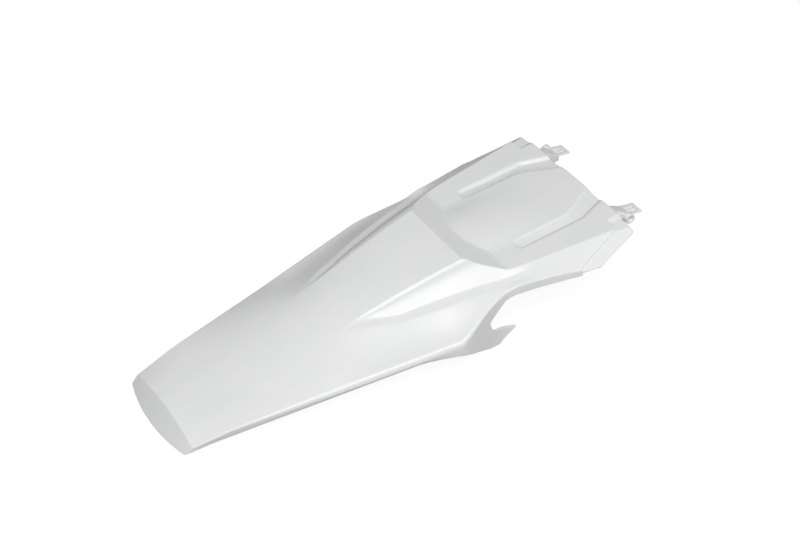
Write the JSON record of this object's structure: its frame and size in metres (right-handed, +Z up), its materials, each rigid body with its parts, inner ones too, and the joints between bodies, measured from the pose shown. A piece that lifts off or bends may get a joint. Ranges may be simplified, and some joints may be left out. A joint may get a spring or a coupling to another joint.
{
  "type": "motorcycle rear fender",
  "caption": "Long white moulded rear mudguard for an off-road motorcycle, with a crowned tail, a crest, a stepped seat platform, forked side plates and slotted tongues.",
  "frame": {"origin": "centre of the bounding box's footprint, on the table that the fender rests on", "axes": "+X forward from the tail to the seat end, +Y to the rider's left, +Z up"},
  "size_m": [0.6108, 0.2472, 0.1007],
  "materials": {
    "white_polypropylene": "smooth semi-gloss, injection moulded"
  },
  "bodies": {
    "root": {"rear_fender": "white_polypropylene"}
  },
  "joints": []
}
